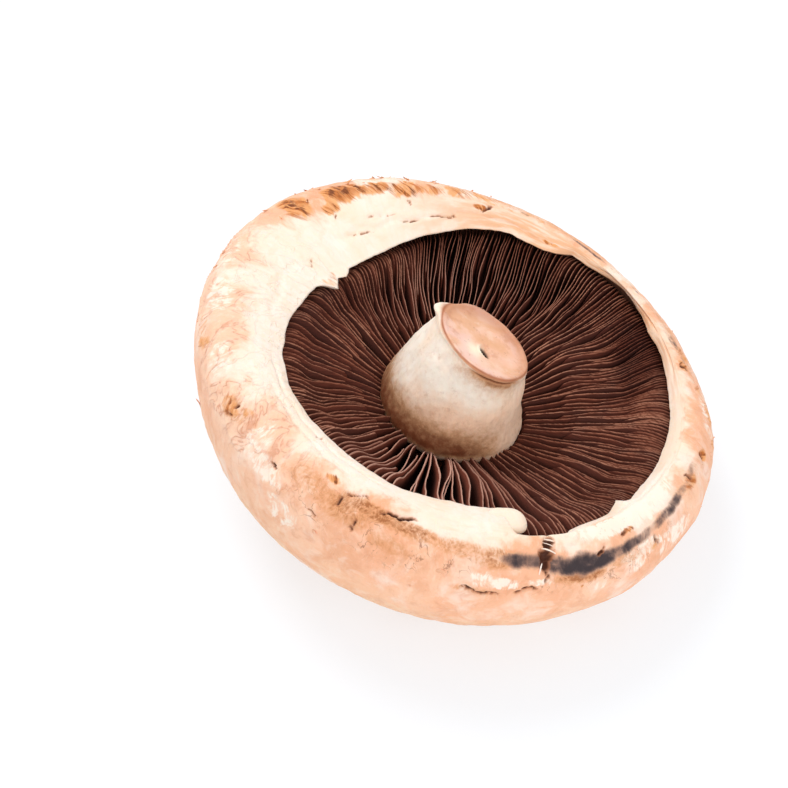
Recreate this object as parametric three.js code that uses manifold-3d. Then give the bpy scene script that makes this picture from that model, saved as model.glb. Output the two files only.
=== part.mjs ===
// One cut portobello mushroom lying on its cap, gills up, in millimetres with +Z up.
// It is three pieces that grew together: the cap's pale flesh and skin, the fan of dark gills
// in its hollow, and the trimmed stem that stands in the middle of them.
//
// The cap is drawn about its own axis first, with its girth at height 0, its crown below and
// its hollow above. The whole mushroom is then leaned over to the way it lies, and a small
// flat spot is pared off the crown where it rests.

import * as THREE from 'three';
import { mergeVertices } from 'three/addons/utils/BufferGeometryUtils.js';
import Module from 'manifold-3d';

const wasm = await Module();
wasm.setup();

const TAU = Math.PI * 2;
const degrees = THREE.MathUtils.degToRad;

// ---------------------------------------------------------------- driving dimensions

const CAP = {
  radius: 58.45,            // mean radius at the girth
  oval: { cos2: -0.027, sin2: -0.043, cos3: 0.007, sin3: -0.002 },
  crownDepth: 27.97,        // from the girth down to the crown
  crownShare: 0.8,          // power that makes the crown fuller than a round dome
  crownFlat: 0.9,
  thicker: { cos: -0.25, sin: -0.158 },   // the flesh is thicker toward the left and the back
  levelWithin: 0.35,        // share of the radius inside which the crown is level as it lies
  levelUpTo: 0.9,           // share of the radius where its own shape is back
  crestRise: 9.23,          // from the girth up to the crest of the rolled rim
  crestInset: 8.76,         // from the girth in to the crest
};
const LEAN = degrees(12.56);  // the stem's side of the mushroom leans toward +X
const REST_DEPTH = 0.3;       // how much the flat spot takes off the crown

const LIP = {
  height: 6,                // the rim's inner edge over the girth
  radius: 42.69,            // its mean radius, with the waves that it has round the cap
  waves: [
    { turns: 1, cos: 6.87, sin: -0.78 },
    { turns: 2, cos: 0.16, sin: 1.35 },
    { turns: 3, cos: -2.27, sin: -0.24 },
  ],
  thickness: 2.2,
  overhang: 4.5,            // how far the gills run on under the edge
};
// Toward the back right the rim is steeper: its edge lies higher and its crest further out.
const STEEP_SIDE = { azimuth: degrees(50), rise: 1.6, back: degrees(77.6) };
// Where the edge is torn: from one azimuth to the other, how far it stands in or out.
const TEARS = [
  { from: -94, to: -72, start: -2.0, end: -5.3 },   // a flap of veil that folds inward
  { from: -71, to: -61, start: 4.4, end: 1.0 },     // the notch beside it
  { from: 141, to: 149, start: -1.8, end: -2.8 },   // a tooth of veil
  { from: 56, to: 71, start: -1.6, end: -1.6 },
];

const HOLLOW = {
  innerHeight: -13.8,       // the floor beside the stem
  rise: 8.6,                // how far the floor climbs to the edge's radius
  bend: 1.1,
  wall: 5,                  // least flesh between the gills and the skin
  rings: [                  // from beside the stem, 0, out to the wall, 1
    { count: 42, share: 0 },
    { count: 56, share: 0.3 },
    { count: 56, share: 0.65 },
    { count: 84, share: 1 },
  ],
};
const STEM_CENTRE = new THREE.Vector2(1.6, -0.3);
const SOCKET = { radius: 12.9, depth: 3 };
const GAP = 0.3;            // between pieces that meet

const GILLS = {
  count: 168,               // a quarter run the whole way, a quarter most of it, half are short
  innerRadius: 15.8,
  plate: 1.0,               // the skin of flesh that they stand on
  thickness: 0.62,
  edgeInner: -6.0,          // height of a gill's edge beside the stem
  edgeRise: 9.2,
  edgeBend: 0.85,
  seed: 11,
};
// Stations from the stem, 0, to the rim's edge, 1, and which gills have begun there.
const STATIONS = [
  { at: 0.03, every: 4, height: 0.62 },
  { at: 0.09, every: 4, height: 0.97 },
  { at: 0.22, every: 2, height: 0.94 },
  { at: 0.34, every: 2, height: 1 },
  { at: 0.5, every: 1, height: 0.94 },
  { at: 0.75, every: 1, height: 1 },
  { at: 1.0, every: 1, height: 0.97 },
];

// The stem from its root to its cut end: height, radius and tilt of each ring.
const STEM_RINGS = [
  { height: -16.4, radius: 11.4, tilt: 0 },
  { height: -15.8, radius: 12.5, tilt: 0 },
  { height: -12.6, radius: 12.7, tilt: 0 },
  { height: -9.6, radius: 14.8, tilt: 0 },
  { height: -6.0, radius: 16.6, tilt: 0 },
  { height: -2.0, radius: 16.2, tilt: 2 },
  { height: 2.0, radius: 15.4, tilt: 5 },
  { height: 6.0, radius: 14.2, tilt: 9 },
  { height: 10.0, radius: 12.9, tilt: 14 },
  { height: 13.2, radius: 12.1, tilt: 18 },
  { height: 14.9, radius: 11.9, tilt: 20 },
  { height: 15.7, radius: 10.9, tilt: 20 },
  { height: 15.1, radius: 9.2, tilt: 20 },
  { height: 14.7, radius: 4.5, tilt: 20 },
];
const STEM_END = { height: 15, shiftX: 2.2, shiftY: -1.8, toward: degrees(13) };

// ---------------------------------------------------------------- the cap's form

/** Radius of the girth at an azimuth. */
function capRadius(azimuth) {
  const { cos2, sin2, cos3, sin3 } = CAP.oval;
  const twofold = cos2 * Math.cos(2 * azimuth) + sin2 * Math.sin(2 * azimuth);
  const threefold = cos3 * Math.cos(3 * azimuth) + sin3 * Math.sin(3 * azimuth);
  return CAP.radius * (1 + twofold + threefold);
}

/** How much higher the rim's inner edge lies on the steep side. */
function steepRise(azimuth) {
  return STEEP_SIDE.rise * Math.max(0, Math.cos(azimuth - STEEP_SIDE.azimuth)) ** 2;
}

/** Radius of the crest of the rim. */
function crestRadius(azimuth) {
  return capRadius(azimuth) - CAP.crestInset + steepRise(azimuth);
}

/** Height of the rim's inner edge. */
function lipHeight(azimuth) {
  return LIP.height + steepRise(azimuth);
}

/** Radius of the rim's inner edge at an azimuth, tears left out. */
function evenLipRadius(azimuth) {
  const wave = ({ turns, cos, sin }) => cos * Math.cos(turns * azimuth) + sin * Math.sin(turns * azimuth);
  const waved = LIP.waves.reduce((sum, each) => sum + wave(each), LIP.radius);
  return waved - steepRise(azimuth) * Math.cos(azimuth - STEEP_SIDE.back);
}

function lipRadius(azimuth) {
  const turned = THREE.MathUtils.euclideanModulo(THREE.MathUtils.radToDeg(azimuth) + 180, 360) - 180;
  const tear = TEARS.find(({ from, to }) => turned >= from && turned <= to);
  if (!tear) return evenLipRadius(azimuth);
  const along = (turned - tear.from) / (tear.to - tear.from);
  return evenLipRadius(azimuth) + THREE.MathUtils.lerp(tear.start, tear.end, along);
}

/** Outer radius of the hollow that the gills fill. */
function hollowRadius(azimuth) {
  return Math.min(evenLipRadius(azimuth) + LIP.overhang, capRadius(azimuth) - HOLLOW.wall);
}

/** How far out a radius lies, from 0 beside the stem to 1 under the rim's edge. */
function shareOut(azimuth, radius) {
  const inner = innerRadius(azimuth);
  return Math.max(0, (radius - inner) / (evenLipRadius(azimuth) - inner));
}

/** Radius where the gills begin, on a circle round the stem. */
function innerRadius(azimuth) {
  return GILLS.innerRadius + STEM_CENTRE.x * Math.cos(azimuth) + STEM_CENTRE.y * Math.sin(azimuth);
}

function floorHeight(azimuth, radius) {
  return HOLLOW.innerHeight + HOLLOW.rise * shareOut(azimuth, radius) ** HOLLOW.bend;
}

/** A ring over the hollow's floor, kept clear of its wall and lifted off it. */
function floorRing(count, share, clear, lift) {
  return ring(count, (azimuth) => {
    const radius = THREE.MathUtils.lerp(innerRadius(azimuth), hollowRadius(azimuth), share);
    return polar(azimuth, radius - clear * share, floorHeight(azimuth, radius) + lift);
  });
}

function polar(azimuth, radius, height) {
  return new THREE.Vector3(radius * Math.cos(azimuth), radius * Math.sin(azimuth), height);
}

/**
 * A point of the crown: angle 0 at its bottom, a quarter turn at the girth. Its lowest part is
 * turned level against the lean, so that the mushroom's weight is over the spot it lies on.
 */
function crownPoint(azimuth, angle) {
  const radius = capRadius(azimuth) * Math.sin(angle) ** CAP.crownShare;
  const depth = CAP.crownDepth * Math.max(0, Math.cos(angle)) ** CAP.crownFlat;
  const { cos, sin } = CAP.thicker;
  const thicker = 1 + (cos * Math.cos(azimuth) + sin * Math.sin(azimuth)) * (radius / CAP.radius);
  const level = 1 - THREE.MathUtils.smoothstep(radius / CAP.radius, CAP.levelWithin, CAP.levelUpTo);
  const steepness = CAP.crownDepth / CAP.radius;
  const turnX = (Math.tan(LEAN) + steepness * cos) * Math.cos(azimuth);
  const turnY = steepness * sin * Math.sin(azimuth);
  return polar(azimuth, radius, -depth * thicker + (turnX + turnY) * radius * level);
}

/** A point of the rolled rim: angle 0 at the girth, a quarter turn at the crest. */
function rimPoint(azimuth, angle) {
  const radius = THREE.MathUtils.lerp(crestRadius(azimuth), capRadius(azimuth), Math.cos(angle));
  return polar(azimuth, radius, CAP.crestRise * Math.sin(angle));
}

/** A point of the slope from the crest, share 0, down to the inner edge, share 1. */
function slopePoint(azimuth, share) {
  const radius = THREE.MathUtils.lerp(crestRadius(azimuth), lipRadius(azimuth), share);
  const drop = (CAP.crestRise - lipHeight(azimuth)) * share ** 1.6;
  return polar(azimuth, radius, CAP.crestRise - drop);
}

// ---------------------------------------------------------------- skins made of rings

/** A closed ring of evenly spaced points, each with its share of the turn. */
function ring(count, pointAt) {
  return Array.from({ length: count }, (_, index) => {
    const share = index / count;
    return { share, point: pointAt(share * TAU) };
  });
}

const pole = (x, y, z) => [{ share: 0, point: new THREE.Vector3(x, y, z) }];

/**
 * One closed mesh through a list of rings that may differ in their number of points. Points
 * with the same share of the turn are always joined, so an edge runs on from ring to ring.
 * A ring of one point is a pole. With loop set, the last ring is joined back to the first.
 */
function skin(rings, loop = false) {
  const positions = rings.flat().flatMap(({ point }) => point.toArray());
  const firsts = [];
  rings.reduce((first, points) => {
    firsts.push(first);
    return first + points.length;
  }, 0);
  const indices = [];
  const pairs = loop ? rings.length : rings.length - 1;
  for (let pair = 0; pair < pairs; pair += 1) {
    const next = (pair + 1) % rings.length;
    indices.push(...band(rings[pair], firsts[pair], rings[next], firsts[next]));
  }
  const geometry = new THREE.BufferGeometry();
  geometry.setAttribute('position', new THREE.Float32BufferAttribute(positions, 3));
  geometry.setIndex(indices);
  return geometry;
}

/** The triangles between two rings, advancing whichever has the nearer next point. */
function band(lower, lowerFirst, upper, upperFirst) {
  const triangles = [];
  const shareAfter = (points, index) => (index + 1 < points.length ? points[index + 1].share : 1 + points[0].share);
  const lowerAt = (index) => lowerFirst + (index % lower.length);
  const upperAt = (index) => upperFirst + (index % upper.length);
  const lowerSteps = lower.length > 1 ? lower.length : 0;
  const upperSteps = upper.length > 1 ? upper.length : 0;
  let low = 0;
  let up = 0;
  while (low < lowerSteps || up < upperSteps) {
    const lowShare = low < lowerSteps ? shareAfter(lower, low) : Infinity;
    const upShare = up < upperSteps ? shareAfter(upper, up) : Infinity;
    const together = Math.abs(lowShare - upShare) < 1e-9;
    if (together || lowShare < upShare) {
      triangles.push(lowerAt(low), lowerAt(low + 1), upperAt(up));
      low += 1;
    }
    if (together || upShare < lowShare) {
      triangles.push(lowerAt(low), upperAt(up + 1), upperAt(up));
      up += 1;
    }
  }
  return triangles;
}

// ---------------------------------------------------------------- the pieces

function capGeometry() {
  const quarter = (step, steps) => (Math.PI / 2) * (step / steps);
  const crown = [[24, 1], [36, 2], [48, 3], [64, 4.2], [80, 5.5], [96, 6.8], [96, 8], [96, 9]]
    .map(([count, step]) => ring(count, (azimuth) => crownPoint(azimuth, quarter(step, 9))));
  const rim = [1, 2, 3, 4].map((step) => ring(96, (azimuth) => rimPoint(azimuth, quarter(step, 4))));
  const slope = [0.35, 0.7, 1].map((share) => ring(96, (azimuth) => slopePoint(azimuth, share)));

  const below = (azimuth, inset, drop) => {
    const radius = Math.min(lipRadius(azimuth) + inset, hollowRadius(azimuth));
    return polar(azimuth, radius, lipHeight(azimuth) - drop);
  };
  const curl = [
    ring(96, (azimuth) => below(azimuth, 0.3, LIP.thickness * 0.6)),
    ring(96, (azimuth) => below(azimuth, 1.4, LIP.thickness)),
    ring(84, (azimuth) => polar(azimuth, hollowRadius(azimuth), lipHeight(azimuth) - LIP.thickness - 0.6)),
  ];
  const floor = [...HOLLOW.rings].reverse().map(({ count, share }) => floorRing(count, share, 0, 0));
  const socketRing = (radius, height) => ring(36, (azimuth) => {
    const x = STEM_CENTRE.x + radius * Math.cos(azimuth);
    const y = STEM_CENTRE.y + radius * Math.sin(azimuth);
    return new THREE.Vector3(x, y, height);
  });
  const bottom = HOLLOW.innerHeight - SOCKET.depth;
  const socket = [
    socketRing(SOCKET.radius, HOLLOW.innerHeight),
    socketRing(SOCKET.radius, bottom),
    pole(STEM_CENTRE.x, STEM_CENTRE.y, bottom),
  ];
  return skin([pole(0, 0, -CAP.crownDepth), ...crown, ...rim, ...slope, ...curl, ...floor, ...socket]);
}

/** A small repeatable random number from 0 to 1 for a gill. */
function seeded(index, salt) {
  const value = Math.sin(index * 127.1 + salt * 311.7 + GILLS.seed) * 43758.5453;
  return value - Math.floor(value);
}

/** How far a gill's line swings sideways: slow waves that neighbours share, and its own jitter. */
function gillSway(azimuth, share, index) {
  const shared = 0.045 * Math.sin(3 * azimuth + 4.2 * share) + 0.03 * Math.sin(7 * azimuth - 6.5 * share + 1);
  const own = (seeded(index, 1) - 0.5) * 0.2 * (TAU / GILLS.count);
  return shared * share * (1.4 - share) + own;
}

function gillEdgeHeight(share) {
  return GILLS.edgeInner + GILLS.edgeRise * Math.min(share, 1) ** GILLS.edgeBend;
}

/** One ring across all gills at a station: two edge points on each gill and one in each gap. */
function gillRing(station) {
  const points = [];
  const step = station.every;
  for (let index = 0; index < GILLS.count; index += step) {
    const azimuth = (TAU * index) / GILLS.count;
    const share = station.at * (1 + 0.05 * (seeded(index, 2) - 0.5));
    const centre = azimuth + gillSway(azimuth, station.at, index);
    const radius = THREE.MathUtils.lerp(innerRadius(azimuth), evenLipRadius(azimuth), share);
    const half = GILLS.thickness / 2 / radius;
    const foot = plateTop(azimuth, radius);
    const height = foot + (gillEdgeHeight(share) - foot) * station.height;
    points.push({ share: (index - 0.25) / GILLS.count, point: polar(centre - half, radius, height) });
    points.push({ share: (index + 0.25) / GILLS.count, point: polar(centre + half, radius, height) });

    const gapIndex = index + step / 2;
    const gapAzimuth = (TAU * gapIndex) / GILLS.count;
    const nextSway = gillSway((TAU * (index + step)) / GILLS.count, station.at, (index + step) % GILLS.count);
    const gapCentre = gapAzimuth + (gillSway(azimuth, station.at, index) + nextSway) / 2;
    const gapRadius = THREE.MathUtils.lerp(innerRadius(gapAzimuth), evenLipRadius(gapAzimuth), station.at);
    points.push({ share: gapIndex / GILLS.count, point: polar(gapCentre, gapRadius, plateTop(gapAzimuth, gapRadius)) });
  }
  const first = points.shift();
  points.push({ share: first.share + 1, point: first.point });
  return points;
}

function plateTop(azimuth, radius) {
  return floorHeight(azimuth, radius) + GAP + GILLS.plate;
}

function gillsGeometry() {
  const underside = HOLLOW.rings.map(({ count, share }) => floorRing(count, share, GAP, GAP));
  const outerTop = floorRing(GILLS.count, 1, GAP, GAP + GILLS.plate);
  const ridges = [...STATIONS].reverse().map(gillRing);
  const innerTop = floorRing(HOLLOW.rings[0].count, 0, GAP, GAP + GILLS.plate);
  return skin([...underside, outerTop, ...ridges, innerTop], true);
}

function stemGeometry() {
  const ringPoint = ({ height, radius, tilt }) => (azimuth) => {
    const along = THREE.MathUtils.clamp((height + 6) / (STEM_END.height + 6), 0, 1);
    const point = new THREE.Vector3(radius * Math.cos(azimuth), radius * Math.sin(azimuth), 0);
    const hinge = new THREE.Vector3(-Math.sin(STEM_END.toward), Math.cos(STEM_END.toward), 0);
    point.applyAxisAngle(hinge, degrees(tilt));
    return point.add(new THREE.Vector3(
      STEM_CENTRE.x + STEM_END.shiftX * along,
      STEM_CENTRE.y + STEM_END.shiftY * along,
      height,
    ));
  };
  const rings = STEM_RINGS.map((each) => ring(40, ringPoint(each)));
  const root = STEM_RINGS[0];
  const end = STEM_RINGS.at(-1);
  const centreOf = (each) => pole(...ringPoint({ ...each, radius: 0 })(0).toArray());
  return skin([centreOf(root), ...rings, centreOf(end)]);
}

// ---------------------------------------------------------------- leaning and resting

const lean = new THREE.Matrix4().makeRotationY(LEAN);

function toSolid(geometry) {
  return new wasm.Manifold(new wasm.Mesh({
    numProp: 3,
    vertProperties: new Float32Array(geometry.getAttribute('position').array),
    triVerts: new Uint32Array(geometry.index.array),
  }));
}

function fromSolid(solid) {
  const mesh = solid.getMesh();
  const geometry = new THREE.BufferGeometry();
  geometry.setAttribute('position', new THREE.BufferAttribute(new Float32Array(mesh.vertProperties), 3));
  geometry.setIndex(new THREE.BufferAttribute(new Uint32Array(mesh.triVerts), 1));
  return geometry;
}

/** The leaned cap with the flat spot pared off the lowest part of its crown. */
function restedCap() {
  const cap = capGeometry().applyMatrix4(lean);
  cap.computeBoundingBox();
  const table = cap.boundingBox.min.z + REST_DEPTH;
  const block = new THREE.BoxGeometry(200, 200, 20).translate(0, 0, table - 10);
  const corners = mergedBox(block);
  return fromSolid(toSolid(cap).subtract(corners));
}

function mergedBox(box) {
  box.deleteAttribute('normal');
  box.deleteAttribute('uv');
  return toSolid(mergeVertices(box));
}

// ---------------------------------------------------------------- the mushroom

function piece(name, geometry, color, roughness) {
  const material = new THREE.MeshStandardMaterial({ color, roughness, metalness: 0 });
  const mesh = new THREE.Mesh(geometry, material);
  mesh.name = name;
  return mesh;
}

const mushroom = new THREE.Group();
mushroom.add(piece('cap', restedCap(), 0xe2bfa0, 0.65));
mushroom.add(piece('gills', gillsGeometry().applyMatrix4(lean), 0x4a2c22, 0.8));
mushroom.add(piece('stem', stemGeometry().applyMatrix4(lean), 0xdcc9b0, 0.7));

const bounds = new THREE.Box3().setFromObject(mushroom);
const middle = bounds.getCenter(new THREE.Vector3());
mushroom.position.set(-middle.x, -middle.y, -bounds.min.z);
mushroom.updateMatrixWorld(true);

export default mushroom;
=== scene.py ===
# %% [markdown]
# # A portobello mushroom, gills up
# A full-grown portobello is one body with three kinds of surface: a thick pale cap with a
# fibrous skin, a fan of thin dark gills in its hollow, and a short firm stem. Each is one
# piece here. All three are made the same way: a grid is rolled into a closed skin,
# and a formula then lays every point where the mushroom's own form wants it. That gives
# clean closed meshes whose rows run along the surface, so torn edges, folds and fibres can
# be placed by how far round and how far across they lie.

# %% Load the frame
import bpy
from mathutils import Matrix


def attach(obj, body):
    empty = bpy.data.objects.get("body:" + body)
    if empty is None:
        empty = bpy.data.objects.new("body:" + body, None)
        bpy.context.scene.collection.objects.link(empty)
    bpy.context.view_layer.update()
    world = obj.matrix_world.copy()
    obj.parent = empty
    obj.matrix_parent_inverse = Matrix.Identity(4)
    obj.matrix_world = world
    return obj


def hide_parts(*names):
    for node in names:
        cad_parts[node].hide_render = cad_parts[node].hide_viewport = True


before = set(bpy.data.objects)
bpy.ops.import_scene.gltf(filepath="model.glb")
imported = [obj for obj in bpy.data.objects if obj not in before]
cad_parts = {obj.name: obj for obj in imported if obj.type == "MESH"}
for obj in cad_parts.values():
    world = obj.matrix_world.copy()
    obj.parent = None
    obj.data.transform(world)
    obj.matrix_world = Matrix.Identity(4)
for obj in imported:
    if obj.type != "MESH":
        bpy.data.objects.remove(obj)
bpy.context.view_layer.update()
print("nodes:", ", ".join(sorted(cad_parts)))

# %% Libraries
from math import cos, pi, radians, sin, tan

import bmesh
import bpy
import numpy as np
from mathutils import Vector, noise

# %% [markdown]
# ## Sizes
# The cap is drawn about its own axis in millimetres, with its girth at height 0, its crown
# below and its hollow above. Then everything is leaned over to the way it lies. These are
# the driving dimensions of the real thing: about 118 mm across, a rim 9 mm high over the
# girth, and a stem 33 mm thick at its bulb.

# %% Driving sizes
MM = 0.001
TURN = 2 * pi
LEAN = radians(12.56)
GIRTH_CENTRE = np.array([-0.06, -0.19, 27.0])
CAP_RADIUS = 58.45
CROWN_DEPTH = 27.97
CREST_RISE = 9.23
CREST_INSET = 8.76
LIP_HEIGHT = 6.0
LIP_RADIUS = 42.69
LIP_THICKNESS = 2.8
EDGE_CURL = 0.8
STEEP_RISE = 1.6
OVERHANG = 4.5
TEAR_ROOM = 0.9
LEAST_WALL = 5.0
WEDGE = (-0.25, -0.158)
STEM_CENTRE = (1.6, -0.3)
STEM_ROOM = 15.8
SOCKET_RADIUS = 12.9
SOCKET_DEPTH = 3.0
FLOOR_INNER = -13.8
FLOOR_RISE = 8.6
EDGE_INNER = -6.0
EDGE_RISE = 9.2

# %% The lean, as a turn about Y
LEAN_TURN = np.array([
    [cos(LEAN), 0, sin(LEAN)],
    [0, 1, 0],
    [-sin(LEAN), 0, cos(LEAN)],
])


def to_lie(points):
    """From the cap's own frame in millimetres to where it lies, in metres."""
    placed = (points @ LEAN_TURN.T + GIRTH_CENTRE) * MM
    placed[:, 2] = np.maximum(placed[:, 2], 0)
    return placed


# %% [markdown]
# ## The outlines
# No mushroom is round. The girth is a slightly oval ring, and the rim's inner edge is a
# wavy one that lies further out on the right, so the pale band is wide on the left and
# narrow on the right. Sums of a few sines are enough for both.

# %% Small helpers for formulas
def smooth(value, low, high):
    """0 below low, 1 above high, and a soft step between."""
    share = np.clip((value - low) / (high - low), 0, 1)
    return share * share * (3 - 2 * share)


def wander(points, size, seed=0):
    """Smooth noise from -1 to 1, with features about `size` across."""
    scaled = points / size + np.array([13.7, 7.1, 3.3]) * seed
    return np.array([noise.noise(point) for point in scaled.tolist()])


def bell(value, middle, width):
    """1 at the middle, falling off smoothly on both sides."""
    return np.exp(-((value - middle) / width) ** 2)


def waves(azimuth, *terms):
    """A sum of waves round the cap, each as its number, cosine share and sine share."""
    return sum(even * np.cos(n * azimuth) + odd * np.sin(n * azimuth) for n, even, odd in terms)


def unit(vector):
    return vector / np.linalg.norm(vector)


def polar(azimuth, radius, height):
    return np.stack([radius * np.cos(azimuth), radius * np.sin(azimuth), height], -1)


def degrees_of(azimuth):
    """Azimuth in degrees from -180 to 180."""
    return (np.degrees(azimuth) + 180) % 360 - 180


# %% The girth, the crest and the inner edge
def cap_radius(azimuth):
    return CAP_RADIUS * (1 + waves(azimuth, (2, -0.027, -0.043), (3, 0.007, -0.002)))


def steep_rise(azimuth):
    """On the back right the rim is steeper, and its edge lies higher."""
    return STEEP_RISE * np.maximum(0, np.cos(azimuth - radians(50))) ** 2


def crest_radius(azimuth):
    return cap_radius(azimuth) - CREST_INSET + steep_rise(azimuth)


def even_lip_radius(azimuth):
    wavy = waves(azimuth, (1, 6.87, -0.78), (2, 0.16, 1.35), (3, -2.27, -0.24))
    return LIP_RADIUS + wavy - steep_rise(azimuth) * np.cos(azimuth - radians(77.6))


# %% [markdown]
# The inner edge is torn, because the veil that once closed the hollow ripped away. Its
# raggedness is a short list of places round the cap, each with how far out it lies there
# from the even line. Two places close together make a rip, and two far apart a curve. A
# flap of veil is left at the front, with a deep notch beside it, and a tooth at the back.

# %% The torn inner edge
TORN_EDGE = [
    # azimuth in degrees, millimetres out from the even edge
    (-180, 0), (-166, 0.4), (-155, 1.1), (-143, 1.6), (-130, 1.9), (-120, 2.2), (-110, 1.9),
    (-103, 0.7), (-97, -0.5), (-91, -1.5), (-88, -1.9),
    (-82, -2.9), (-79.6, -3.2), (-79.0, 3.2), (-76, 4.4), (-71.6, 5.0), (-68.3, 5.5),
    (-66.5, 4.0), (-63.5, 1.8), (-60, 1.0), (-55, 0.7), (-51, 0.4), (-49.5, -0.2),
    (-46.8, -1.2), (-46.2, -1.5), (-45.6, -0.4), (-43, 0.3), (-38, -0.5), (-28, -0.4),
    (-14, 0), (4, -0.5), (13, -0.3), (22, -0.8), (30, 0), (39, 0.6), (44, 0), (50, -0.8),
    (55.5, -0.2), (59, -2.1), (63, -2.5), (69, -1.6), (74, 0.3), (84, 1.0), (103, 1.0),
    (125, 0.2), (136, 0.1), (140, -1.5), (143.4, -0.6), (148.4, -3.2), (149.4, -1.6),
    (150.4, -0.4), (153, 0.6), (158, 0.3), (166, 0), (180, 0),
]


def torn_offset(azimuth):
    places, offsets = zip(*TORN_EDGE)
    return np.interp(degrees_of(azimuth), places, offsets)


def lip_radius(azimuth):
    """The inner edge with its tears and a fine raggedness."""
    radius = even_lip_radius(azimuth) + torn_offset(azimuth)
    ring = polar(azimuth, radius, 0 * azimuth)
    return radius + 0.3 * wander(ring, 4.5, 1) + 0.14 * wander(ring, 1.3, 2)


def hollow_radius(azimuth):
    """The wall of the hollow, a little outside even the deepest tear."""
    even = even_lip_radius(azimuth)
    wall = np.minimum(even + OVERHANG, cap_radius(azimuth) - LEAST_WALL)
    return np.maximum(wall, even + torn_offset(azimuth) + TEAR_ROOM)


def inner_radius(azimuth):
    """The edge of the room left for the stem."""
    return STEM_ROOM + waves(azimuth, (1, *STEM_CENTRE))


def share_out(azimuth, radius):
    """0 beside the stem, 1 under the rim's edge."""
    inner = inner_radius(azimuth)
    return np.maximum(0, (radius - inner) / (even_lip_radius(azimuth) - inner))


def floor_height(azimuth, radius):
    return FLOOR_INNER + FLOOR_RISE * share_out(azimuth, radius) ** 1.1


# %% [markdown]
# ## A rolled skin
# Each skin starts as a flat grid that is rolled into a tube and joined along its seam. Its
# rows are the stations along the skin and its columns go round. The rows lie at heights 0,
# 1, 2 and so on, so that after joining every vertex still tells its station by its height
# and its azimuth by its direction. The end rows of a plain skin are drawn together into
# poles. In a ring-shaped skin the last row lies on the first and joins it.

# %% Roll a grid of stations and columns
def rolled(stations, columns, ring=False):
    shape = bmesh.new()
    rows = stations if ring else stations - 1
    bmesh.ops.create_grid(shape, x_segments=columns, y_segments=rows, size=0.5)
    for vert in shape.verts:
        station = round((vert.co.y + 0.5) * rows)
        azimuth = round((vert.co.x + 0.5) * columns) % columns * TURN / columns
        reach = 1 if ring or 0 < station < rows else 0
        vert.co = (reach * cos(azimuth), reach * sin(azimuth), station % stations)
    bmesh.ops.remove_doubles(shape, verts=shape.verts, dist=1e-5)
    return shape


def stations_of(shape):
    """Azimuth and station number of every vertex of a rolled shape."""
    spots = np.array([vert.co[:] for vert in shape.verts])
    return np.arctan2(spots[:, 1], spots[:, 0]), np.rint(spots[:, 2]).astype(int)


def lay(shape, points):
    for vert, point in zip(shape.verts, points.tolist()):
        vert.co = point
    bmesh.ops.recalc_face_normals(shape, faces=shape.faces)


# %% Turn a shape into a finished piece of the mushroom
def add_object(name, data):
    thing = bpy.data.objects.new(name, data)
    bpy.context.collection.objects.link(thing)
    return thing


def mesh_of(name, shape, material):
    mesh = bpy.data.meshes.new(name)
    shape.to_mesh(mesh)
    shape.free()
    mesh.materials.append(material)
    return mesh


def add_piece(name, shape, material, node, marks):
    """A mesh object on the body, with per-vertex marks that its material reads."""
    mesh = mesh_of(name, shape, material)
    for mark, values in marks.items():
        kind, field = ("FLOAT_VECTOR", "vector") if values.ndim == 2 else ("FLOAT", "value")
        layer = mesh.attributes.new(mark, kind, "POINT")
        layer.data.foreach_set(field, values.astype(np.float32).ravel())
    mesh.shade_smooth()
    piece = add_object(name, mesh)
    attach(piece, "root")
    if node:
        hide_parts(node)
    print(f"{name}: {len(mesh.polygons)} faces")


def normals_of(shape):
    shape.normal_update()
    return np.array([vert.normal[:] for vert in shape.verts])


# %% [markdown]
# ## The cap's skin
# One line runs from the crown's pole up the outside to the girth, over the rolled rim to its
# crest, down the pale slope to the inner edge, round the edge, and back under it across the
# hollow's floor to the middle of the stem's socket. Along it a number called the path goes
# from 0 to 9, with the girth at 1, the crest at 2 and the inner edge at 3. Stations are
# close together where the skin is seen from near and wide apart under the gills.

# %% Where the stations lie on the cap's path
PATH = np.concatenate([
    1 - (1 - np.linspace(0, 1, 48, endpoint=False)) ** 1.35,
    np.linspace(1, 2, 42, endpoint=False),
    np.linspace(2, 3, 36, endpoint=False),
    np.linspace(3, 4, 4, endpoint=False),
    [4.0, 4.5, 5.0, 5.5, 6.0, 6.3, 6.65, 7.0, 8.0, 8.5, 9.0],
])
CAP_COLUMNS = 660


# %% A point of the cap from its azimuth and path
def crown(azimuth, path):
    """The dome, thicker on one side, and level round its pole so that the mushroom rests."""
    angle = np.clip(path, 0, 1) * pi / 2
    radius = cap_radius(azimuth) * np.sin(angle) ** 0.8
    depth = CROWN_DEPTH * np.maximum(0, np.cos(angle)) ** 0.9
    far = radius / CAP_RADIUS
    wedge = waves(azimuth, (1, *WEDGE))
    flattened = (tan(LEAN) * np.cos(azimuth) + CROWN_DEPTH / CAP_RADIUS * wedge) * radius
    height = flattened * (1 - smooth(far, 0.35, 0.9)) - depth * (1 + wedge * far)
    return polar(azimuth, radius, height)


def rim(azimuth, path):
    angle = np.clip(path - 1, 0, 1) * pi / 2
    crest = crest_radius(azimuth)
    radius = crest + (cap_radius(azimuth) - crest) * np.cos(angle)
    return polar(azimuth, radius, CREST_RISE * np.sin(angle))


def slope(azimuth, path, lip):
    share = np.clip(path - 2, 0, 1)
    crest = crest_radius(azimuth)
    drop = (CREST_RISE - LIP_HEIGHT - steep_rise(azimuth)) * share ** 1.6
    return polar(azimuth, crest + (lip - crest) * share, CREST_RISE - drop)


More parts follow.
